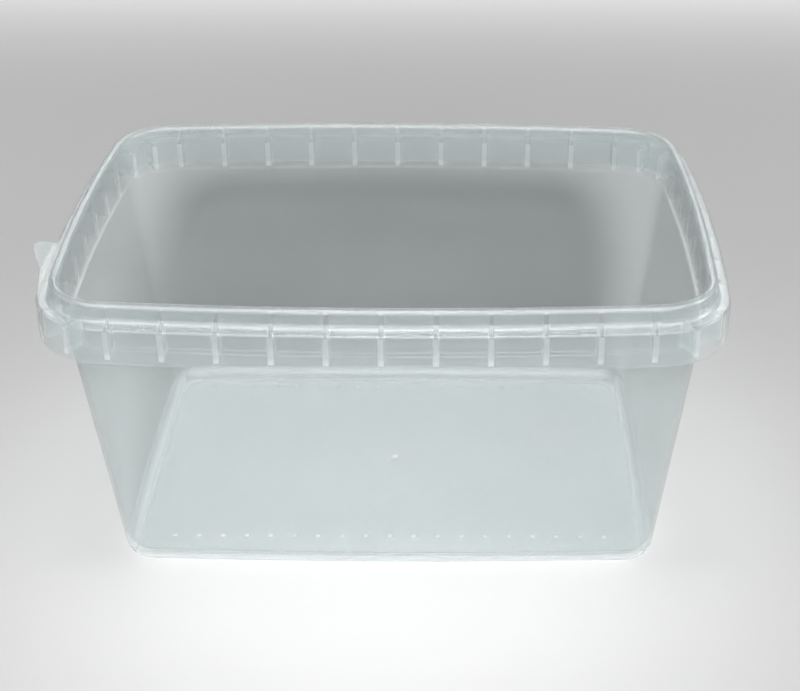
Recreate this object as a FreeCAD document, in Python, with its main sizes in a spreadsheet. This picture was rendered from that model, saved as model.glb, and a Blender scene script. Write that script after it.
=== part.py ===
import FreeCAD, Part
import math
import os
import Sketcher
from FreeCAD import Placement, Rotation, Vector

# A rectangular thin-walled tub for prepared food, injection moulded in one piece.
# Millimetres, +Z up. Everything is drawn round the middle of the tub, and the finished
# piece is then moved so that the origin lies on the ground, midway between the ends of the
# overall length, which the pull tab makes longer on one side.
#
# The walls are lofts between outlines of the same kind: an oblong with bulging sides and
# rounded corners. The lid's collar is one section swept round the rim: shelf, upper wall,
# folded lip, flange and skirt. Thin ribs under the flange tie the skirt to the wall.

DRIVING_SIZES = [
    # alias, value, what it is
    ("overall_length", 187.0, "outside of the skirt, long way"),
    ("overall_width", 131.6, "outside of the skirt, short way"),
    ("overall_height", 90.0, "ground to the top of the lip"),
    ("end_lean", 9.2, "how far an end wall leans out from the ground to the shelf"),
    ("side_lean", 7.1, "how far a long wall leans out from the ground to the shelf"),
    ("rim_bow_long", 4.2, "bulge of the long side at the rim"),
    ("rim_bow_short", 3.0, "bulge of the short side at the rim"),
    ("base_bow_long", 1.6, "bulge of the long side at the base"),
    ("base_bow_short", 1.2, "bulge of the short side at the base"),
    ("rim_corner", 15.5, "plan radius of the upper wall's outer face"),
    ("base_corner", 9.5, "plan radius of the base"),
    ("wall", 0.7, "thickness of the lower wall"),
    ("floor_thick", 0.8, "thickness of the floor"),
    ("foot_height", 1.1, "depth of the hollow under the floor"),
    ("foot_inset", 4.2, "base outline to the hollow under the floor"),
    ("outer_round", 3.0, "round between wall and ground"),
    ("inner_round", 5.0, "round between wall and floor inside"),
    ("collar_wall", 0.8, "thickness of the collar's section"),
    ("collar_reach", 6.0, "upper wall's outer face to the foot of the skirt"),
    ("skirt_draft", 0.25, "how far the skirt opens downwards"),
    ("skirt_drop", 9.9, "flange's top face to the foot of the skirt"),
    ("flange_drop", 5.3, "top of the lip to the flange's top face"),
    ("flange_bead", 0.7, "outer round of the flange's edge"),
    ("lip_width", 2.95, "outside width of the folded lip"),
    ("lip_fillet", 1.3, "round between the lip's outer face and the flange"),
    ("shelf_drop", 14.2, "top of the lip to the shelf inside"),
    ("shelf_width", 1.0, "step from the lower wall out to the upper wall"),
    ("rib_width", 1.2, "thickness of a rib under the flange"),
    ("rib_pitch", 14.0, "spacing of the ribs along the sides"),
    ("rib_lift", 1.3, "foot of the skirt to the lower edge of the ribs"),
    ("rib_gusset", 0.3, "how far a rib shows past the fillet beside the lip"),
    ("ribs_corner", 2, "ribs round each corner"),
    ("foot_rib_width", 1.2, "thickness of a rib under the floor"),
    ("foot_rib_pitch", 7.0, "spacing of the ribs under the floor"),
    ("foot_rib_length", 5.6, "length of a rib under the floor"),
    ("foot_rib_lift", 0.3, "ground to the ribs under the floor"),
    ("gate_diameter", 2.4, "nub where the plastic was let in"),
    ("gate_height", 0.6, "height of that nub"),
    ("tab_length", 31.7, "root of the pull tab along the short side"),
    ("tab_reach", 5.7, "how far the pull tab stands out from the flange"),
    ("tab_offset", 31.15, "middle of the tab's root from the middle of the short side"),
    ("tab_shoulder", 16.7, "front part of the root, which only widens the flange"),
    ("tab_notch", 0.55, "how far that part stands out where the tab's finger starts"),
    ("tab_tip", 2.6, "radius of the tab's tip"),
    ("tab_thick", 1.2, "thickness of the pull tab"),
    ("cut_past", 1.0, "how far the inside is cut past the top of the lower wall"),
]

# Heights of the tub, each a formula on the driving sizes.
HEIGHTS = [
    ("flange", "=Sizes.overall_height - Sizes.flange_drop", "flange's top face"),
    ("flange_under", "=flange - Sizes.collar_wall", "flange's lower face"),
    ("flange_middle", "=flange - Sizes.collar_wall / 2", "middle of the flange's thickness"),
    ("flange_side", "=flange - Sizes.flange_bead", "where the flange's edge turns down"),
    ("skirt_foot", "=flange - Sizes.skirt_drop", "foot of the skirt"),
    ("rib_foot", "=skirt_foot + Sizes.rib_lift", "lower edge of the ribs"),
    ("fillet", "=flange + Sizes.lip_fillet", "top of the round beside the lip"),
    ("gusset", "=fillet + Sizes.rib_gusset", "top of a rib where it shows beside the lip"),
    ("lip_side", "=Sizes.overall_height - Sizes.lip_width / 2", "where the lip starts to curve"),
    ("lip_under", "=Sizes.overall_height - Sizes.collar_wall", "top of the hollow in the lip"),
    ("shelf", "=Sizes.overall_height - Sizes.shelf_drop", "shelf inside"),
    ("shelf_under", "=shelf - Sizes.collar_wall", "lower face of the shelf"),
    ("floor", "=Sizes.foot_height + Sizes.floor_thick", "floor inside"),
    ("mouth", "=shelf + Sizes.cut_past", "just past the top of the lower wall"),
    ("tab_under", "=flange - Sizes.tab_thick", "lower face of the pull tab"),
    ("gate_foot", "=Sizes.foot_height - Sizes.gate_height", "lower end of the gate's nub"),
]


def outline_rows(level, half_length, half_width, long_radius, short_radius, corner):
    """Rows that describe one outline: half sizes, radii of the bulging sides and of the corners."""
    return [
        (level + "_half_length", "=" + half_length, "half length"),
        (level + "_half_width", "=" + half_width, "half width"),
        (level + "_long_radius", "=" + long_radius, "radius of the long sides"),
        (level + "_short_radius", "=" + short_radius, "radius of the short sides"),
        (level + "_corner", "=" + corner, "radius of the corners"),
        (level + "_long_centre", "={0}_long_radius - {0}_half_width".format(level), "its centre"),
        (level + "_short_centre", "={0}_short_radius - {0}_half_length".format(level), "its centre"),
    ]


def bulging_outline(level, half_length, half_width, bow_long, bow_short, corner):
    """An outline given by how far its sides bulge."""
    long_radius = "(%s_half_length ^ 2 + %s ^ 2) / (2 * %s)" % (level, bow_long, bow_long)
    short_radius = "(%s_half_width ^ 2 + %s ^ 2) / (2 * %s)" % (level, bow_short, bow_short)
    return outline_rows(level, half_length, half_width, long_radius, short_radius, corner)


def inset_outline(level, other, inset):
    """The outline of another level, moved inwards."""
    sides = ("half_length", "half_width", "long_radius", "short_radius", "corner")
    return outline_rows(level, *["%s_%s - %s" % (other, side, inset) for side in sides])


def wall_outline(level, height, inset):
    """The outline of the tapering wall's outer face at a height, moved inwards."""
    share = "%s / Heights.shelf" % height
    straight = "base_%s + (wall_top_%s - base_%s) * " + share + " - " + inset
    curved = "1 / (1 / base_%s + (1 / wall_top_%s - 1 / base_%s) * " + share + ") - " + inset
    return outline_rows(
        level,
        straight % (("half_length",) * 3),
        straight % (("half_width",) * 3),
        curved % (("long_radius",) * 3),
        curved % (("short_radius",) * 3),
        straight % (("corner",) * 3),
    )


OUTLINES = (
    bulging_outline(
        "rim",
        "Sizes.overall_length / 2 - Sizes.collar_reach",
        "Sizes.overall_width / 2 - Sizes.collar_reach",
        "Sizes.rim_bow_long",
        "Sizes.rim_bow_short",
        "Sizes.rim_corner",
    )
    + inset_outline("wall_top", "rim", "Sizes.shelf_width")
    + bulging_outline(
        "base",
        "wall_top_half_length - Sizes.end_lean",
        "wall_top_half_width - Sizes.side_lean",
        "Sizes.base_bow_long",
        "Sizes.base_bow_short",
        "Sizes.base_corner",
    )
    + wall_outline("cavity_floor", "Heights.floor", "Sizes.wall")
    + wall_outline("cavity_mouth", "Heights.mouth", "Sizes.wall")
    + inset_outline("foot", "base", "Sizes.foot_inset")
)

# Distances from the middle of the tub along +X, where the collar's section is drawn.
COLLAR = [
    ("rim", "=Outlines.rim_half_length", "upper wall's outer face"),
    ("cavity", "=rim - Sizes.shelf_width - Sizes.wall", "lower wall's inner face"),
    ("inside", "=rim - Sizes.collar_wall", "upper wall's inner face"),
    ("inside_middle", "=rim - Sizes.collar_wall / 2", "middle of the upper wall's thickness"),
    ("lip", "=inside + Sizes.lip_width", "lip's outer face"),
    ("lip_centre", "=inside + Sizes.lip_width / 2", "centre of the lip's curve"),
    ("lip_middle", "=lip - Sizes.collar_wall / 2", "middle of the lip's outer leg"),
    ("lip_hollow", "=lip - Sizes.collar_wall", "outer side of the hollow in the lip"),
    ("lip_round", "=Sizes.lip_width / 2", "radius over the lip"),
    ("hollow_round", "=lip_round - Sizes.collar_wall", "radius of the hollow in the lip"),
    ("outer_fillet", "=Sizes.lip_fillet + Sizes.collar_wall", "round under the flange"),
    ("fillet", "=lip + Sizes.lip_fillet", "outer end of the round beside the lip"),
    ("gusset", "=fillet + Sizes.rib_gusset", "outer end of a rib beside the lip"),
    ("skirt", "=rim + Sizes.collar_reach", "skirt's outer face at its foot"),
    ("skirt_inside", "=skirt - Sizes.collar_wall", "skirt's inner face at its foot"),
    ("flange", "=skirt - Sizes.skirt_draft", "outer face below the flange's edge"),
    ("flange_bead", "=flange - Sizes.flange_bead", "where the flange's edge starts to curve"),
    ("flange_inside", "=flange - Sizes.collar_wall", "skirt's inner face at its top"),
    ("skirt_middle", "=flange - Sizes.collar_wall / 2", "within the skirt's thickness"),
]

# Places of the short ribs under the floor, an odd number of them along each long side.
FOOT = [
    ("straight", "=Outlines.foot_half_length - Outlines.foot_corner", "middle to the corner's start"),
    ("steps", "=floor(straight / Sizes.foot_rib_pitch)", "ribs each way from the middle one"),
    ("rib_count", "=2 * steps + 1", "ribs along a long side"),
    ("rib_outer", "=Outlines.foot_half_width + Sizes.foot_rib_width / 2", "outer end"),
    ("rib_inner", "=rib_outer - Sizes.foot_rib_length", "inner end"),
    ("rib_height", "=Heights.floor - Sizes.foot_rib_lift - Sizes.floor_thick / 2", "into the floor"),
    ("first_rib_right", "=steps * Sizes.foot_rib_pitch - Sizes.foot_rib_width / 2", "near face"),
    ("first_rib_left", "=first_rib_right + Sizes.foot_rib_width", "far face"),
]

# Places of the pull tab, on the left short side and nearer its front end. The root lies
# inside the flange's edge, which curves away from the middle of the side by "bowed".
TAB = [
    ("low", "=Sizes.tab_offset + Sizes.tab_length / 2", "front end of the root"),
    ("high", "=Sizes.tab_offset - Sizes.tab_length / 2", "back end of the root"),
    ("bowed", "=Sizes.rim_bow_short * (low / Outlines.rim_half_width) ^ 2", "flange's curve there"),
    ("root", "=Collar.flange_bead - bowed", "root from the middle"),
    ("notch_out", "=Collar.flange + Sizes.tab_notch", "notch from the middle"),
    ("notch_along", "=low - Sizes.tab_shoulder", "notch along the side"),
    ("centre_out", "=Collar.flange + Sizes.tab_reach - Sizes.tab_tip", "tip's centre from the middle"),
    ("centre_along", "=high + Sizes.tab_tip / 2", "tip's centre along the side"),
    ("end", "=centre_out + Sizes.tab_tip", "how far the tab reaches from the middle"),
]

# Bars that cut the ribs' ring into slices, between the corners. A long side has a rib at its
# middle and a short side has none there. The first bar lies at the low end of its row.
BARS = [
    ("long_straight", "=Outlines.rim_half_length - Sizes.rim_corner", "middle to the corner's start"),
    ("short_straight", "=Outlines.rim_half_width - Sizes.rim_corner", "middle to the corner's start"),
    ("long_steps", "=floor(long_straight / Sizes.rib_pitch)", "ribs each way from the middle one"),
    ("short_steps", "=floor(short_straight / Sizes.rib_pitch + 0.5)", "ribs each way from the middle"),
    ("long_count", "=2 * long_steps + 1", "ribs along a long side"),
    ("short_count", "=2 * short_steps", "ribs along a short side"),
    ("tall", "=Sizes.overall_height - Heights.skirt_foot", "height"),
    ("half_length", "=Sizes.overall_length / 2", "half the reach, long way"),
    ("half_width", "=Sizes.overall_width / 2", "half the reach, short way"),
    ("first_long_high", "=long_steps * Sizes.rib_pitch - Sizes.rib_width / 2", "near face"),
    ("first_long_low", "=first_long_high + Sizes.rib_width", "far face"),
    ("first_short_high", "=(short_steps - 0.5) * Sizes.rib_pitch - Sizes.rib_width / 2", "near face"),
    ("first_short_low", "=first_short_high + Sizes.rib_width", "far face"),
    ("corner_reach", "=Sizes.rim_corner + Sizes.collar_reach", "from a corner's centre"),
    ("corner_tall", "=Heights.flange_middle - Heights.skirt_foot", "height, up into the flange"),
]

START, END, CENTRE = 1, 2, 3  # Sketcher's numbers for the points of a line or an arc
ORIGIN, X_AXIS, Y_AXIS = -1, -1, -2
UP = Vector(0, 0, 1)
QUARTERS = ((1, 1), (-1, 1), (-1, -1), (1, -1))

doc = FreeCAD.newDocument("food_tub")


# ---------------------------------------------------------------- sheets


def make_sheet(name, rows):
    """A spreadsheet with a row for each (alias, contents, note)."""
    sheet = doc.addObject("Spreadsheet::Sheet", name)
    for number, (alias, contents, note) in enumerate(rows, start=1):
        sheet.set("A%d" % number, alias)
        sheet.set("B%d" % number, str(contents))
        sheet.set("C%d" % number, note)
        sheet.setAlias("B%d" % number, alias)
    doc.recompute()


def value(name):
    """The number behind a name such as Sizes.wall, which may carry a minus sign."""
    sheet_name, alias = name.lstrip("-").split(".")
    number = float(getattr(doc.getObject(sheet_name), alias))
    return -number if name.startswith("-") else number


make_sheet("Sizes", DRIVING_SIZES)
make_sheet("Heights", HEIGHTS)
make_sheet("Outlines", OUTLINES)
make_sheet("Collar", COLLAR)
make_sheet("Foot", FOOT)
make_sheet("Tab", TAB)
make_sheet("Bars", BARS)


# ---------------------------------------------------------------- sketches


def new_sketch(body, name, role, height=None):
    """A sketch on one of the body's own planes, raised to a named height."""
    plane = [feature for feature in body.Origin.OriginFeatures if feature.Role == role][0]
    sketch = body.newObject("Sketcher::SketchObject", name)
    sketch.AttachmentSupport = (plane, "")
    sketch.MapMode = "FlatFace"
    if height:
        sketch.AttachmentOffset = Placement(Vector(0, 0, value(height)), Rotation())
        sketch.setExpression("AttachmentOffset.Base.z", height)
    return sketch


def bind(sketch, kind, parts, name):
    """A dimension of a sketch, bound to a named size."""
    index = sketch.addConstraint(Sketcher.Constraint(kind, *parts, value(name)))
    sketch.setExpression("Constraints[%d]" % index, name)


def place(sketch, geometry, point, x_name, y_name):
    """Fixes a point of a sketch at two named distances from the origin; a minus sign is a side."""
    for kind, name in (("DistanceX", x_name), ("DistanceY", y_name)):
        if name.startswith("-"):
            bind(sketch, kind, (geometry, point, ORIGIN, START), name.lstrip("-"))
        else:
            bind(sketch, kind, (ORIGIN, START, geometry, point), name)


def arc(centre, radius, first, last):
    """A circular arc, turning anticlockwise between two angles."""
    return Part.ArcOfCircle(Part.Circle(centre, UP, radius), first, last)


def corner_centre(level):
    """Centre of the corner's arc in the first quarter of an outline."""
    corner = value("Outlines.%s_corner" % level)
    long_centre = Vector(0, -value("Outlines.%s_long_centre" % level), 0)
    short_centre = Vector(-value("Outlines.%s_short_centre" % level), 0, 0)
    from_long = value("Outlines.%s_long_radius" % level) - corner
    from_short = value("Outlines.%s_short_radius" % level) - corner
    axis = long_centre - short_centre
    along = (from_short**2 - from_long**2 + axis.Length**2) / (2 * axis.Length)
    across = math.sqrt(from_short**2 - along**2)
    unit = axis / axis.Length
    return short_centre + unit * along + Vector(-unit.y, unit.x, 0) * across


def draw_outline(sketch, level):
    """An oblong with bulging sides and rounded corners, drawn as eight tangent arcs."""
    named = "Outlines." + level
    long_centre = value(named + "_long_centre")
    short_centre = value(named + "_short_centre")
    middle = corner_centre(level)
    flat_turn = math.atan2(middle.y, middle.x + short_centre)
    steep_turn = math.atan2(middle.y + long_centre, middle.x)
    for quarter, (x_side, y_side) in enumerate(QUARTERS):
        turn = quarter * math.pi / 2
        if quarter % 2 == 0:
            centre = Vector(-x_side * short_centre, 0, 0)
            radius = value(named + "_short_radius")
            first, last = flat_turn, steep_turn
        else:
            centre = Vector(0, -y_side * long_centre, 0)
            radius = value(named + "_long_radius")
            first, last = math.pi / 2 - steep_turn, math.pi / 2 - flat_turn
        rounded = Vector(x_side * middle.x, y_side * middle.y, 0)
        sketch.addGeometry(arc(centre, radius, turn - first, turn + first))
        sketch.addGeometry(arc(rounded, value(named + "_corner"), turn + first, turn + last))
    for number in range(8):
        sketch.addConstraint(Sketcher.Constraint("Tangent", number, END, (number + 1) % 8, START))
    for number, parts in (
        (0, (0, CENTRE, ORIGIN, START)),
        (4, (ORIGIN, START, 4, CENTRE)),
    ):
        sketch.addConstraint(Sketcher.Constraint("PointOnObject", number, CENTRE, X_AXIS))
        bind(sketch, "DistanceX", parts, named + "_short_centre")
        bind(sketch, "Radius", (number,), named + "_short_radius")
    for number, parts in (
        (2, (2, CENTRE, ORIGIN, START)),
        (6, (ORIGIN, START, 6, CENTRE)),
    ):
        sketch.addConstraint(Sketcher.Constraint("PointOnObject", number, CENTRE, Y_AXIS))
        bind(sketch, "DistanceY", parts, named + "_long_centre")
        bind(sketch, "Radius", (number,), named + "_long_radius")
    bind(sketch, "Radius", (1,), named + "_corner")
    for number in (3, 5, 7):
        sketch.addConstraint(Sketcher.Constraint("Equal", 1, number))
    return sketch


def draw_section(sketch, corners):
    """A closed section from (distance, height, radius, turn) corners.

    The radius, if any, is that of the arc that leads on to the next corner, and turn is 1
    for an arc that turns anticlockwise and -1 for one that turns clockwise.
    """
    points = [Vector(value(x_name), value(y_name), 0) for x_name, y_name, _, _ in corners]
    ends = []
    for number, (_, _, radius, turn) in enumerate(corners):
        here, there = points[number], points[(number + 1) % len(points)]
        if not radius:
            sketch.addGeometry(Part.LineSegment(here, there))
            ends.append((START, END))
            continue
        chord = there - here
        rise = math.sqrt(max(value(radius) ** 2 - (chord.Length / 2) ** 2, 0.0))
        left = Vector(-chord.y, chord.x, 0) / chord.Length
        centre = (here + there) / 2 + left * rise * turn
        spokes = [here - centre, there - centre][::turn]
        first, last = [math.atan2(spoke.y, spoke.x) for spoke in spokes]
        sketch.addGeometry(arc(centre, value(radius), first, last))
        ends.append((START, END)[::turn])
    for number, (x_name, y_name, radius, _) in enumerate(corners):
        after = (number + 1) % len(corners)
        joint = (number, ends[number][1], after, ends[after][0])
        sketch.addConstraint(Sketcher.Constraint("Coincident", *joint))
        place(sketch, number, ends[number][0], x_name, y_name)
        if radius:
            bind(sketch, "Radius", (number,), radius)
    return sketch


# ---------------------------------------------------------------- features


def swept_ring(body, name, path_name, corners):
    """A section swept once round the rim."""
    path = draw_outline(new_sketch(body, path_name, "XY_Plane"), "rim")
    section = draw_section(new_sketch(body, name + "_section", "XZ_Plane"), corners)
    ring = body.newObject("PartDesign::AdditivePipe", name)
    ring.Profile = section
    ring.Spine = (path, ["Edge%d" % (number + 1) for number in range(8)])
    ring.Transition = "Transformed"
    return ring


def lofted(body, kind, name, sections):
    """A straight loft between two outlines, each (level, height)."""
    sketches = []
    for level, height in sections:
        sketch = new_sketch(body, "%s_%s" % (name, level), "XY_Plane", height)
        sketches.append(draw_outline(sketch, level))
    loft = body.newObject(kind, name)
    loft.Profile = sketches[0]
    loft.Sections = sketches[1:]
    loft.Ruled = True
    doc.recompute()
    return loft


def rounded(body, name, base, height, radius):
    """A fillet along all edges of a feature that lie at one height."""
    edges = []
    for number, edge in enumerate(base.Shape.Edges, start=1):
        box = edge.BoundBox
        if abs(box.ZMin - height) < 1e-4 and abs(box.ZMax - height) < 1e-4:
            edges.append("Edge%d" % number)
    fillet = body.newObject("PartDesign::Fillet", name)
    fillet.Base = (base, edges)
    fillet.Radius = value(radius)
    fillet.setExpression("Radius", radius)
    doc.recompute()
    return fillet


def padded(body, name, sketch, thickness):
    """A pad straight up from a sketch."""
    pad = body.newObject("PartDesign::Pad", name)
    pad.Profile = sketch
    pad.setExpression("Length", thickness)
    doc.recompute()
    return pad


def repeated(body, name, original, axis, count, pitch):
    """A row of one feature at an even pitch."""
    row = body.newObject("PartDesign::LinearPattern", name)
    row.Originals = [original]
    row.Direction = (original.Profile[0], [axis])
    row.setExpression("Length", "(%s - 1) * %s" % (count, pitch))
    row.setExpression("Occurrences", count)
    body.Tip = row
    doc.recompute()
    return row


def draw_bar(sketch, x_names, y_names):
    """A rectangle between two named distances each way."""
    (left, right), (low, high) = x_names, y_names
    corners = ((left, low), (right, low), (right, high), (left, high))
    return draw_section(sketch, [(x_name, y_name, None, 0) for x_name, y_name in corners])


# ---------------------------------------------------------------- the moulding

moulding = doc.addObject("PartDesign::Body", "moulding")

COLLAR_SECTION = [
    ("Collar.cavity", "Heights.shelf", None, 0),
    ("Collar.inside", "Heights.shelf", None, 0),
    ("Collar.inside", "Heights.lip_side", "Collar.lip_round", -1),
    ("Collar.lip_centre", "Sizes.overall_height", "Collar.lip_round", -1),
    ("Collar.lip", "Heights.lip_side", None, 0),
    ("Collar.lip", "Heights.fillet", "Sizes.lip_fillet", 1),
    ("Collar.fillet", "Heights.flange", None, 0),
    ("Collar.flange_bead", "Heights.flange", "Sizes.flange_bead", -1),
    ("Collar.flange", "Heights.flange_side", None, 0),
    ("Collar.skirt", "Heights.skirt_foot", None, 0),
    ("Collar.skirt_inside", "Heights.skirt_foot", None, 0),
    ("Collar.flange_inside", "Heights.flange_under", None, 0),
    ("Collar.fillet", "Heights.flange_under", "Collar.outer_fillet", -1),
    ("Collar.lip_hollow", "Heights.fillet", None, 0),
    ("Collar.lip_hollow", "Heights.lip_side", "Collar.hollow_round", 1),
    ("Collar.lip_centre", "Heights.lip_under", "Collar.hollow_round", 1),
    ("Collar.rim", "Heights.lip_side", None, 0),
    ("Collar.rim", "Heights.shelf_under", None, 0),
    ("Collar.cavity", "Heights.shelf_under", None, 0),
]
collar = swept_ring(moulding, "collar", "rim_path", COLLAR_SECTION)
doc.recompute()

wall_block = lofted(
    moulding,
    "PartDesign::AdditiveLoft",
    "wall_block",
    [("base", None), ("wall_top", "Heights.shelf")],
)
wall_block = rounded(moulding, "outer_round", wall_block, 0.0, "Sizes.outer_round")
cavity = lofted(
    moulding,
    "PartDesign::SubtractiveLoft",
    "cavity",
    [("cavity_floor", "Heights.floor"), ("cavity_mouth", "Heights.mouth")],
)
cavity = rounded(moulding, "inner_round", cavity, value("Heights.floor"), "Sizes.inner_round")

foot = moulding.newObject("PartDesign::Pocket", "foot_hollow")
foot.Profile = draw_outline(new_sketch(moulding, "foot_hollow_outline", "XY_Plane"), "foot")
foot.Reversed = True
foot.setExpression("Length", "Sizes.foot_height")
doc.recompute()
if foot.Shape.Volume >= cavity.Shape.Volume:
    raise RuntimeError("the hollow under the floor cuts nothing")

# Short ribs cross the edge of the hollow under the floor, in a row along each long side.
for side, (low, high) in (("front", ("-Foot.rib_outer", "-Foot.rib_inner")),
                          ("back", ("Foot.rib_inner", "Foot.rib_outer"))):
    name = "foot_rib_" + side
    sketch = new_sketch(moulding, name + "_outline", "XY_Plane", "Sizes.foot_rib_lift")
    draw_bar(sketch, ("-Foot.first_rib_left", "-Foot.first_rib_right"), (low, high))
    rib = padded(moulding, name, sketch, "Foot.rib_height")
    repeated(moulding, name + "_row", rib, "H_Axis", "Foot.rib_count", "Sizes.foot_rib_pitch")

gate_sketch = new_sketch(moulding, "gate_outline", "XY_Plane", "Heights.gate_foot")
gate_sketch.addGeometry(Part.Circle(Vector(0, 0, 0), UP, value("Sizes.gate_diameter") / 2))
gate_sketch.addConstraint(Sketcher.Constraint("Coincident", 0, CENTRE, ORIGIN, START))
bind(gate_sketch, "Diameter", (0,), "Sizes.gate_diameter")
padded(moulding, "gate", gate_sketch, "Sizes.gate_height")


def draw_tab(sketch):
    """The pull tab: a low shoulder along the flange's edge and a finger that leans back."""
    names = {
        "low": ("-Tab.root", "-Tab.low"),
        "notch": ("-Tab.notch_out", "-Tab.notch_along"),
        "high": ("-Tab.root", "-Tab.high"),
        "tip": ("-Tab.centre_out", "-Tab.centre_along"),
    }
    low, notch, high, tip = [Vector(value(x), value(y), 0) for x, y in names.values()]
    radius = value("Sizes.tab_tip")
    turns = []
    for start, side in ((notch, 1), (high, -1)):
        reach = start - tip
        turns.append(math.atan2(reach.y, reach.x) - side * math.acos(radius / reach.Length))
    touches = [tip + Vector(math.cos(turn), math.sin(turn), 0) * radius for turn in turns]
    sketch.addGeometry(Part.LineSegment(low, notch))
    sketch.addGeometry(Part.LineSegment(notch, touches[0]))
    sketch.addGeometry(arc(tip, radius, turns[1], turns[0]))
    sketch.addGeometry(Part.LineSegment(touches[1], high))
    sketch.addGeometry(Part.LineSegment(high, low))
    sketch.addConstraint(Sketcher.Constraint("Coincident", 0, END, 1, START))
    sketch.addConstraint(Sketcher.Constraint("Tangent", 1, END, 2, END))
    sketch.addConstraint(Sketcher.Constraint("Tangent", 2, START, 3, START))
    sketch.addConstraint(Sketcher.Constraint("Coincident", 3, END, 4, START))
    sketch.addConstraint(Sketcher.Constraint("Coincident", 4, END, 0, START))
    place(sketch, 0, START, *names["low"])
    place(sketch, 1, START, *names["notch"])
    place(sketch, 4, START, *names["high"])
    place(sketch, 2, CENTRE, *names["tip"])
    bind(sketch, "Radius", (2,), "Sizes.tab_tip")
    return sketch


tab_sketch = draw_tab(new_sketch(moulding, "tab_outline", "XY_Plane", "Heights.tab_under"))
padded(moulding, "tab", tab_sketch, "Sizes.tab_thick")

# ---------------------------------------------------------------- ribs under the flange

# The ribs' own section, swept round the rim, is cut into thin slices by bars that cross
# the tub, and by bars that stand on the centres of the corners.
RIB_SECTION = [
    ("Collar.inside_middle", "Heights.rib_foot", None, 0),
    ("Collar.skirt_middle", "Heights.rib_foot", None, 0),
    ("Collar.skirt_middle", "Heights.flange_middle", None, 0),
    ("Collar.gusset", "Heights.flange_middle", None, 0),
    ("Collar.gusset", "Heights.flange", None, 0),
    ("Collar.lip_middle", "Heights.gusset", None, 0),
    ("Collar.lip_middle", "Heights.lip_side", None, 0),
    ("Collar.inside_middle", "Heights.lip_side", None, 0),
]
rib_ring = doc.addObject("PartDesign::Body", "rib_ring")
swept_ring(rib_ring, "rib_sweep", "rib_path", RIB_SECTION)
doc.recompute()


def bar_row(name, x_names, y_names, axis, count):
    """Upright bars across the whole tub at the ribs' pitch."""
    body = doc.addObject("PartDesign::Body", name)
    sketch = new_sketch(body, name + "_outline", "XY_Plane", "Heights.skirt_foot")
    draw_bar(sketch, x_names, y_names)
    bar = padded(body, name + "_bar", sketch, "Bars.tall")
    repeated(body, name + "_row", bar, axis, count, "Sizes.rib_pitch")
    return body


def corner_bar(number, x_side, y_side, place_in_corner):
    """An upright bar that points out of a corner's centre and ends within the flange."""
    bar = doc.addObject("Part::Box", "corner_bar_%d" % number)
    bar.setExpression("Length", "Bars.corner_reach")
    bar.setExpression("Width", "Sizes.rib_width")
    bar.setExpression("Height", "Bars.corner_tall")
    middle = corner_centre("rim")
    share = place_in_corner / (value("Sizes.ribs_corner") + 1)
    turn = math.atan2(y_side, x_side) + (share - 0.5) * math.pi / 2
    aside = Vector(math.sin(turn), -math.cos(turn), 0) * value("Sizes.rib_width") / 2
    foot_point = Vector(x_side * middle.x, y_side * middle.y, value("Heights.skirt_foot")) + aside
    bar.Placement = Placement(foot_point, Rotation(UP, math.degrees(turn)))
    return bar


bars = [
    bar_row(
        "long_side_bars",
        ("-Bars.first_long_low", "-Bars.first_long_high"),
        ("-Bars.half_width", "Bars.half_width"),
        "H_Axis",
        "Bars.long_count",
    ),
    bar_row(
        "short_side_bars",
        ("-Bars.half_length", "Bars.half_length"),
        ("-Bars.first_short_low", "-Bars.first_short_high"),
        "V_Axis",
        "Bars.short_count",
    ),
]
for x_side, y_side in QUARTERS:
    for place_in_corner in range(1, int(value("Sizes.ribs_corner")) + 1):
        bars.append(corner_bar(len(bars), x_side, y_side, place_in_corner))

all_bars = doc.addObject("Part::MultiFuse", "all_bars")
all_bars.Shapes = bars
ribs = doc.addObject("Part::MultiCommon", "ribs")
ribs.Shapes = [rib_ring, all_bars]

tub = doc.addObject("Part::MultiFuse", "tub")
tub.Shapes = [moulding, ribs]
tub.Refine = True
tub.Label = "tub"
tub.setExpression("Placement.Base.x", "(Tab.end - Collar.skirt) / 2")
doc.recompute()

# ---------------------------------------------------------------- checks and files

for item in doc.Objects:
    if "Invalid" in item.State or "Error" in item.State:
        raise RuntimeError("%s failed: %s" % (item.Name, item.State))
shape = tub.Shape
if shape.isNull() or not shape.isValid() or len(shape.Solids) != 1:
    raise RuntimeError("the tub isn't one valid solid")
print("tub", round(shape.Volume / 1000, 2), "cm3", len(shape.Faces), "faces")
os.makedirs("parts", exist_ok=True)
shape.exportStep("parts/tub.step")
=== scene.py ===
import math

import bpy
from mathutils import Matrix, Vector


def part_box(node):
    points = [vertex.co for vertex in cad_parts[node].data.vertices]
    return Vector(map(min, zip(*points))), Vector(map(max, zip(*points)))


# A rectangular tub for prepared food in thin natural polypropylene: one moulding, empty and
# open, on a plain pale floor.

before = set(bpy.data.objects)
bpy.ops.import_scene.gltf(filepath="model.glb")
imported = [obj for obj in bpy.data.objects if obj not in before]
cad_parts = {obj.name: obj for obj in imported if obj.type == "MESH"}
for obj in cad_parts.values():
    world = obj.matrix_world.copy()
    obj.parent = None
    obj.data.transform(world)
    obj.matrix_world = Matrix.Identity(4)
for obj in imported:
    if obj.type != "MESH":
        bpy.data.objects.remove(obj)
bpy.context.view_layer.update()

# Half the collar's length. The pull tab adds to one side, so the tub's own middle is off the
# origin of the row.
COLLAR_HALF_LENGTH = 0.0935
MIDDLE = Vector((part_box("tub")[1].x - COLLAR_HALF_LENGTH, 0, 0))

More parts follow.
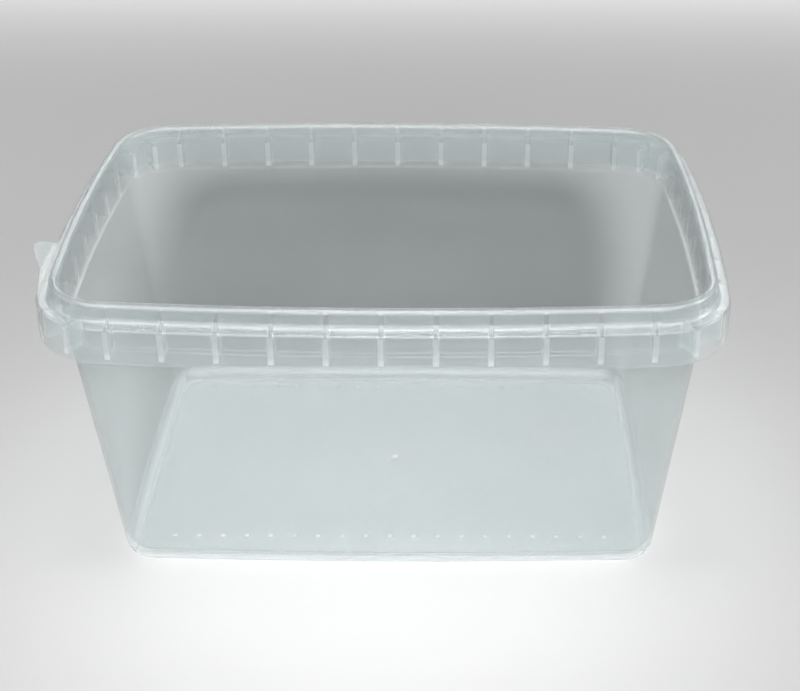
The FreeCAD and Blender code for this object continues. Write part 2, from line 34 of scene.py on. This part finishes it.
# Camera, for a frame of 800 x 691.
CAMERA_PLACE = Vector((0.0185179, -0.3892251, 0.2768576))
CAMERA_DOWN = math.radians(30.9977)
CAMERA_YAW = math.radians(0.2717)
CAMERA_ROLL = math.radians(0.4477)
LENS = 67.4025
SENSOR_WIDTH = 36
SHIFT_X = -0.075
CLIP_START = 0.01

# World: its colour below and above, and its strength as a light and as seen.
WORLD_LOW = (0.5, 0.52, 0.53, 1)
WORLD_HIGH = (0.5, 0.5, 0.5, 1)
WORLD_AS_LIGHT = 0.1
WORLD_AS_SEEN = 1.4

# Floor of the stage, just below the foot.
FLOOR_HALF = 6.0
FLOOR_DROP = 0.0002
FLOOR_COLOUR = (0.8, 0.8, 0.8, 1)
FLOOR_ROUGHNESS = 0.9
FLOOR_SPECULAR = 0.1

# Lights. Both pools are narrow and shine straight down.
POOL_HEIGHT = 0.45
POOL_SPREAD = 35
FAR_SPREAD = 50
FULL_SPREAD = 180
RIM_SIZE = (0.4, 0.6)

# Plastic.
BODY_COLOUR = (0.85, 0.895, 0.9, 1)
# The white below is for painted glints on the floor, and for the spot over the gate.
GLINT_AND_GATE_COLOUR = (1, 1, 1, 1)
THROUGH = (0.943, 0.963, 0.963, 1)
LAMP_WALL = (0.60, 0.60, 0.60, 1)
LAMP_FLOOR = (0.97, 0.97, 0.97, 1)
BODY_ROUGHNESS = 0.3
IOR = 1.49
GLOSS_ROUGHNESS = 0.25
GLOSS_FACING = 0.045
GLOSS_EDGE = 0.9
GLOSS_POWER = 5.0
TAB_GLOSS_CUT = 0.9

# Haze: the share of milky body against clear, and what each feature adds to it.
HAZE = 0.15
HAZE_CLOUD = 0.06
HAZE_RIB = 0.25
# The haze at the ribs' lower ends is a painted highlight for their bright ends.
HAZE_RIB_END_GLINT = 0.15
# The next is the milkiness of the floor's painted glints and of the gate spot.
HAZE_GLINT_AND_GATE = 0.8
HAZE_EDGE = 0.35
HAZE_TAB = 0.45
HAZE_COLLAR = 0.02

# Noise: cycles per metre, and the relief that it gives to the gloss.
CLOUD_SCALE = 35.0
CLOUD_DETAIL = 3.0
GRAIN_SCALE = 900.0
FLOW_SCALE = 60.0
SURFACE_DETAIL = 2.0
GRAIN_SHARE = 0.5
BUMP_STRENGTH = 0.1
BUMP_DISTANCE = 0.0002

# Ribs between wall and skirt. Each pair holds the two ends of a soft edge, in metres.
RIB_PITCH = 0.014
RIB_EDGE = (0.0006, 0.0006 * 1.7)
RIB_FOOT, RIB_TOP, RIB_SOFT = 0.0762, 0.0838, 0.0005
# Below this height the ribs get a painted highlight.
RIB_END_GLINT = (0.0765, 0.0785)
LONG_SIDE = (0.0545, 0.0555)
LONG_ROW = (0.0745, 0.0755)
SHORT_SIDE = (0.0820, 0.0830)
SHORT_ROW = (0.0395, 0.0405)
CORNER_X, CORNER_Y = 0.070, 0.0412
CORNER_EDGE = (0.0, 0.0005)
CORNER_MIDDLE = math.pi / 4
CORNER_STEP = math.pi / 12
COLLAR_FOOT = (0.0750, 0.0770)
TAB_START = (-0.0940, -0.0935)

# Painted glints on the floor near the short ribs below it, and a white spot over the gate.
SPOT_PITCH = 0.007
SPOT_EDGE = (0.0005, 0.0011)
SPOT_ROW = (0.0640, 0.0650)
SPOT_INNER, SPOT_OUTER, SPOT_SOFT = 0.0400, 0.0411, 0.0004
# The painted glints are brighter in the front row than in the back.
FRONT_TO_BACK = (-0.010, 0.010)
FRONT_MORE = 0.8
BACK_SHARE = 0.2
GATE_EDGE = (0.0010, 0.0014)
FLOOR_LOW, FLOOR_TOP, FLOOR_SOFT = 0.0017, 0.0021, 0.0001

# The round between the floor and the walls.
ROUND_Y = (0.0475, 0.0490)
ROUND_X = (0.0730, 0.0745)
ROUND_TOP = (0.0020, 0.0045)

# Surfaces of the tub that one ray may pass.
PASSES = 24


def set_camera():
    forward = Vector((
        math.sin(CAMERA_YAW) * math.cos(CAMERA_DOWN),
        math.cos(CAMERA_YAW) * math.cos(CAMERA_DOWN),
        -math.sin(CAMERA_DOWN),
    ))
    right = Vector((math.cos(CAMERA_YAW), -math.sin(CAMERA_YAW), 0))
    up = right.cross(forward)
    turned_right = math.cos(CAMERA_ROLL) * right + math.sin(CAMERA_ROLL) * up
    turned_up = -math.sin(CAMERA_ROLL) * right + math.cos(CAMERA_ROLL) * up
    data = bpy.data.cameras.new("camera")
    data.lens = LENS
    data.sensor_width = SENSOR_WIDTH
    data.shift_x = SHIFT_X
    data.clip_start = CLIP_START
    camera = bpy.data.objects.new("camera", data)
    turn = Matrix((turned_right, turned_up, -forward)).transposed()
    camera.matrix_world = Matrix.Translation(CAMERA_PLACE + MIDDLE) @ turn.to_4x4()
    bpy.context.scene.collection.objects.link(camera)
    bpy.context.scene.camera = camera


def set_world():
    world = bpy.data.worlds.new("studio")
    bpy.context.scene.world = world
    world.use_nodes = True
    world.cycles_visibility.diffuse = False
    nodes, links = world.node_tree.nodes, world.node_tree.links
    nodes.clear()
    where = nodes.new("ShaderNodeTexCoord")
    split = nodes.new("ShaderNodeSeparateXYZ")
    ramp = nodes.new("ShaderNodeValToRGB")
    ramp.color_ramp.elements[0].color = WORLD_LOW
    ramp.color_ramp.elements[1].color = WORLD_HIGH
    back = nodes.new("ShaderNodeBackground")
    path = nodes.new("ShaderNodeLightPath")
    level = nodes.new("ShaderNodeMapRange")
    level.inputs["To Min"].default_value = WORLD_AS_LIGHT
    level.inputs["To Max"].default_value = WORLD_AS_SEEN
    out = nodes.new("ShaderNodeOutputWorld")
    links.new(path.outputs["Is Camera Ray"], level.inputs["Value"])
    links.new(level.outputs["Result"], back.inputs["Strength"])
    links.new(where.outputs["Generated"], split.inputs[0])
    links.new(split.outputs["Z"], ramp.inputs["Fac"])
    links.new(ramp.outputs["Color"], back.inputs["Color"])
    links.new(back.outputs[0], out.inputs["Surface"])


def put_light(data, turn, place, only):
    light = bpy.data.objects.new(data.name, data)
    light.matrix_world = Matrix.Translation(place) @ turn.to_matrix().to_4x4()
    bpy.context.scene.collection.objects.link(light)
    if only:
        lit = bpy.data.collections.new(data.name)
        lit.objects.link(only)
        light.light_linking.receiver_collection = lit
    return light


def add_light(name, place, target, size, power, spread=FULL_SPREAD, only=None):
    """A rectangular light aimed at target; with only, it lights that object alone."""
    data = bpy.data.lights.new(name, "AREA")
    data.shape = "RECTANGLE"
    data.size, data.size_y = size
    data.energy = power
    data.spread = math.radians(spread)
    turn = (Vector(target) - Vector(place)).to_track_quat("-Z", "Y")
    return put_light(data, turn, Vector(place), only)


def add_sun(name, elevation, azimuth, strength, angle, only=None):
    """A sun in front of the tub, azimuth degrees round to the right."""
    data = bpy.data.lights.new(name, "SUN")
    data.energy = strength
    data.angle = math.radians(angle)
    up, side = math.radians(elevation), math.radians(azimuth)
    towards = Vector((math.sin(side) * math.cos(up), -math.cos(side) * math.cos(up), math.sin(up)))
    return put_light(data, (-towards).to_track_quat("-Z", "Y"), Vector(), only)


def set_lights(floor, tub):
    above_front = (0, -0.10, POOL_HEIGHT)
    above_middle = (0, 0, POOL_HEIGHT)
    add_light("pool_front", above_front, (0, -0.10, 0), (0.16, 0.10), 0.0340, POOL_SPREAD)
    strip = add_light("strip_light", (0, -0.47, 0.77), (0, 0, 0.085), (1.6, 0.9), 22.0)
    # It is there for the gloss on the small rounds of the rim.
    strip.visible_diffuse = False
    add_light("pool_middle", above_middle, (0, 0, 0), (0.2, 0.12), 0.0237, POOL_SPREAD)
    add_light("front_fill", (0, -1.2, 0.25), (0, 0, 0.05), (1.2, 0.4), 7.26)
    add_light("back_rim", (0, 0.8, 0.6), (0, 0, 0), (1.0, 0.3), 4.09, only=tub)
    add_light("left_rim", (-0.9, 0, 0.5), (0, 0, 0), RIM_SIZE, 2.23, only=tub)
    add_light("right_rim", (0.9, 0, 0.5), (0, 0, 0), RIM_SIZE, 6, only=tub)
    add_sun("floor_key", 28, 4, 3.78, 9, only=floor)
    add_light("far_floor", (0, 0.80, 0.7), (0, 0.80, 0), (1.8, 0.4), 5.0, FAR_SPREAD, only=floor)


def make_floor():
    mesh = bpy.data.meshes.new("stage_floor")
    corners = [(-FLOOR_HALF, -FLOOR_HALF, 0), (FLOOR_HALF, -FLOOR_HALF, 0),
               (FLOOR_HALF, FLOOR_HALF, 0), (-FLOOR_HALF, FLOOR_HALF, 0)]
    mesh.from_pydata(corners, [], [(0, 1, 2, 3)])
    floor = bpy.data.objects.new("stage_floor", mesh)
    bpy.context.scene.collection.objects.link(floor)
    material = bpy.data.materials.new("stage_floor")
    material.use_nodes = True
    shader = material.node_tree.nodes["Principled BSDF"]
    shader.inputs["Base Color"].default_value = FLOOR_COLOUR
    shader.inputs["Roughness"].default_value = FLOOR_ROUGHNESS
    shader.inputs["Specular IOR Level"].default_value = FLOOR_SPECULAR
    mesh.materials.append(material)
    floor.location.z = -FLOOR_DROP
    return floor


class Nodes:
    """Short ways to add and join the nodes of one material."""

    def __init__(self, material):
        self.tree = material.node_tree

    def add(self, kind, **inputs):
        node = self.tree.nodes.new(kind)
        for name, value in inputs.items():
            self.join(value, node.inputs[name.replace("_", " ")])
        return node

    def join(self, value, socket):
        if isinstance(value, bpy.types.NodeSocket):
            self.tree.links.new(value, socket)
        else:
            socket.default_value = value

    def math(self, operation, first, second=0.0, third=0.0):
        node = self.tree.nodes.new("ShaderNodeMath")
        node.operation = operation
        for value, socket in zip((first, second, third), node.inputs):
            self.join(value, socket)
        return node.outputs[0]

    def product(self, *factors):
        result = factors[0]
        for factor in factors[1:]:
            result = self.math("MULTIPLY", result, factor)
        return result

    def edge(self, value, low, high, before, after):
        """A soft step from one number to another between low and high."""
        node = self.tree.nodes.new("ShaderNodeMapRange")
        node.interpolation_type = "SMOOTHSTEP"
        self.join(value, node.inputs["Value"])
        node.inputs["From Min"].default_value = low
        node.inputs["From Max"].default_value = high
        node.inputs["To Min"].default_value = before
        node.inputs["To Max"].default_value = after
        return node.outputs["Result"]

    def rise(self, value, low, high):
        return self.edge(value, low, high, 0.0, 1.0)

    def fall(self, value, low, high):
        return self.edge(value, low, high, 1.0, 0.0)

    def band(self, value, low, high, soft):
        """1 between two limits, with soft ends."""
        return self.product(self.rise(value, low - soft, low), self.fall(value, high, high + soft))

    def length(self, first, second):
        squares = self.math("ADD", self.product(first, first), self.product(second, second))
        return self.math("SQRT", squares)

    def mixed_colour(self, factor, first, second):
        node = self.tree.nodes.new("ShaderNodeMix")
        node.data_type = "RGBA"
        node.inputs["A"].default_value = first
        node.inputs["B"].default_value = second
        self.join(factor, node.inputs["Factor"])
        return node.outputs["Result"]

    def mixed_shader(self, factor, first, second):
        node = self.add("ShaderNodeMixShader", Fac=factor)
        self.join(first, node.inputs[1])
        self.join(second, node.inputs[2])
        return node.outputs[0]

    def off_rib(self, value, pitch, shift):
        """Distance to the nearest of a row of ribs; shift is a share of the pitch."""
        turns = self.math("FRACT", self.math("ADD", self.math("DIVIDE", value, pitch), 0.5 + shift))
        return self.product(self.math("ABSOLUTE", self.math("SUBTRACT", turns, 0.5)), pitch)


def corner_marks(n, away_x, away_y):
    """The two ribs of each corner, either side of its middle."""
    out_x = n.math("SUBTRACT", away_x, CORNER_X)
    out_y = n.math("SUBTRACT", away_y, CORNER_Y)
    from_middle = n.math("SUBTRACT", n.math("ARCTAN2", out_y, out_x), CORNER_MIDDLE)
    from_rib = n.math("SUBTRACT", n.math("ABSOLUTE", from_middle), CORNER_STEP)
    off = n.product(n.math("ABSOLUTE", from_rib), n.length(out_x, out_y))
    return n.product(
        n.fall(off, *RIB_EDGE),
        n.rise(out_x, *CORNER_EDGE),
        n.rise(out_y, *CORNER_EDGE),
    )


def rib_marks(n, x, y, z):
    """The ribs under the flange, on the long sides, the short sides and the corners."""
    away_x, away_y = n.math("ABSOLUTE", x), n.math("ABSOLUTE", y)
    long_side = n.product(
        n.fall(n.off_rib(x, RIB_PITCH, 0.0), *RIB_EDGE),
        n.rise(away_y, *LONG_SIDE),
        n.fall(away_x, *LONG_ROW),
    )
    short_side = n.product(
        n.fall(n.off_rib(y, RIB_PITCH, 0.5), *RIB_EDGE),
        n.rise(away_x, *SHORT_SIDE),
        n.fall(away_y, *SHORT_ROW),
    )
    sides = n.math("MAXIMUM", long_side, short_side)
    marks = n.math("MAXIMUM", sides, corner_marks(n, away_x, away_y))
    return n.product(marks, n.band(z, RIB_FOOT, RIB_TOP, RIB_SOFT))


def floor_glints_and_gate_spot(n, x, y, z):
    """Painted glints just inside the short ribs below the floor, stronger in front; a white gate
    spot.
    """
    away_x, away_y = n.math("ABSOLUTE", x), n.math("ABSOLUTE", y)
    row = n.product(
        n.fall(n.off_rib(x, SPOT_PITCH, 0.0), *SPOT_EDGE),
        n.fall(away_x, *SPOT_ROW),
        n.band(away_y, SPOT_INNER, SPOT_OUTER, SPOT_SOFT),
        n.math("MULTIPLY_ADD", n.fall(y, *FRONT_TO_BACK), FRONT_MORE, BACK_SHARE),
    )
    glints_and_gate_spot = n.math("MAXIMUM", row, n.fall(n.length(x, y), *GATE_EDGE))
    return n.product(glints_and_gate_spot, n.band(z, FLOOR_LOW, FLOOR_TOP, FLOOR_SOFT))


def bottom_round(n, x, y, z):
    """The milkier round between the floor and the walls."""
    outside_y = n.rise(n.math("ABSOLUTE", y), *ROUND_Y)
    outside_x = n.rise(n.math("ABSOLUTE", x), *ROUND_X)
    return n.product(n.math("MAXIMUM", outside_y, outside_x), n.fall(z, *ROUND_TOP))


def haze_share(n, place, x, y, z, glints_and_gate_spot, tab):
    """How much of the milky body shows against the clear; it also carries painted glints and
    highlights.
    """
    cloud = n.add("ShaderNodeTexNoise", Vector=place, Scale=CLOUD_SCALE, Detail=CLOUD_DETAIL)
    uneven = n.math("SUBTRACT", cloud.outputs["Fac"], 0.5)
    # Milky ribs, with a painted highlight added at their lower ends.
    rib_haze_and_end_glint = n.math("MULTIPLY_ADD", n.fall(z, *RIB_END_GLINT), HAZE_RIB_END_GLINT, HAZE_RIB)
    added = (
        n.product(rib_marks(n, x, y, z), rib_haze_and_end_glint),
        # The floor's painted glints and the gate spot are made milky.
        n.product(glints_and_gate_spot, HAZE_GLINT_AND_GATE),
        n.product(bottom_round(n, x, y, z), HAZE_EDGE),
        n.product(tab, HAZE_TAB),
        n.product(n.rise(z, *COLLAR_FOOT), HAZE_COLLAR),
    )
    haze = n.math("MULTIPLY_ADD", uneven, HAZE_CLOUD, HAZE)
    for part in added:
        haze = n.math("ADD", haze, part)
    return haze


def satin_gloss(n, place):
    """Gloss over a fine grain and broad flow marks."""
    grain = n.add("ShaderNodeTexNoise", Vector=place, Scale=GRAIN_SCALE, Detail=SURFACE_DETAIL)
    flow = n.add("ShaderNodeTexNoise", Vector=place, Scale=FLOW_SCALE, Detail=SURFACE_DETAIL)
    height = n.math("ADD", n.product(grain.outputs["Fac"], GRAIN_SHARE), flow.outputs["Fac"])
    bump = n.add("ShaderNodeBump", Height=height, Strength=BUMP_STRENGTH, Distance=BUMP_DISTANCE)
    gloss = n.add("ShaderNodeBsdfGlossy", Roughness=GLOSS_ROUGHNESS, Normal=bump.outputs["Normal"])
    return gloss.outputs[0]


def gloss_share(n, tab):
    """Little gloss face on, much at the edges, and next to none on the tab."""
    facing = n.add("ShaderNodeLayerWeight").outputs["Facing"]
    share = n.math("MULTIPLY_ADD", n.math("POWER", facing, GLOSS_POWER), GLOSS_EDGE, GLOSS_FACING)
    return n.product(share, n.math("SUBTRACT", 1.0, n.product(tab, TAB_GLOSS_CUT)))


def lamp_shade(n):
    """What a light's ray meets: upright faces dim it more than flat ones do."""
    normal = n.add("ShaderNodeNewGeometry").outputs["Normal"]
    upward = n.add("ShaderNodeSeparateXYZ", Vector=normal).outputs["Z"]
    tint = n.mixed_colour(n.math("ABSOLUTE", upward), LAMP_WALL, LAMP_FLOOR)
    return n.add("ShaderNodeBsdfTransparent", Color=tint).outputs[0]


def plastic():
    """Natural polypropylene: clear, partly milky, with a satin gloss."""
    material = bpy.data.materials.new("natural_polypropylene")
    material.use_nodes = True
    n = Nodes(material)
    place = n.add("ShaderNodeTexCoord").outputs["Object"]
    split = n.add("ShaderNodeSeparateXYZ", Vector=place)
    x = n.math("SUBTRACT", split.outputs["X"], MIDDLE.x)
    y, z = split.outputs["Y"], split.outputs["Z"]
    tab = n.fall(x, *TAB_START)
    # Painted glints on the floor, and a white spot over the gate.
    glints_and_gate_spot = floor_glints_and_gate_spot(n, x, y, z)

    body = material.node_tree.nodes["Principled BSDF"]
    body.inputs["Roughness"].default_value = BODY_ROUGHNESS
    body.inputs["IOR"].default_value = IOR
    body.inputs["Specular IOR Level"].default_value = 0.0
    # The base colour turns white at the painted glints and the gate spot.
    n.join(n.mixed_colour(glints_and_gate_spot, BODY_COLOUR, GLINT_AND_GATE_COLOUR), body.inputs["Base Color"])

    clear = n.add("ShaderNodeBsdfTransparent", Color=THROUGH).outputs[0]
    milky = n.mixed_shader(haze_share(n, place, x, y, z, glints_and_gate_spot, tab), clear, body.outputs[0])
    shine = n.mixed_shader(gloss_share(n, tab), milky, satin_gloss(n, place))
    shadow_ray = n.add("ShaderNodeLightPath").outputs["Is Shadow Ray"]
    surface = n.mixed_shader(shadow_ray, shine, lamp_shade(n))
    n.join(surface, material.node_tree.nodes["Material Output"].inputs["Surface"])
    return material


set_camera()
set_world()
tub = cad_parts["tub"]
set_lights(make_floor(), tub)
bpy.context.scene.view_settings.view_transform = "Standard"
bpy.context.scene.cycles.transparent_max_bounces = PASSES

material = plastic()
for slot in tub.material_slots:
    slot.material = material
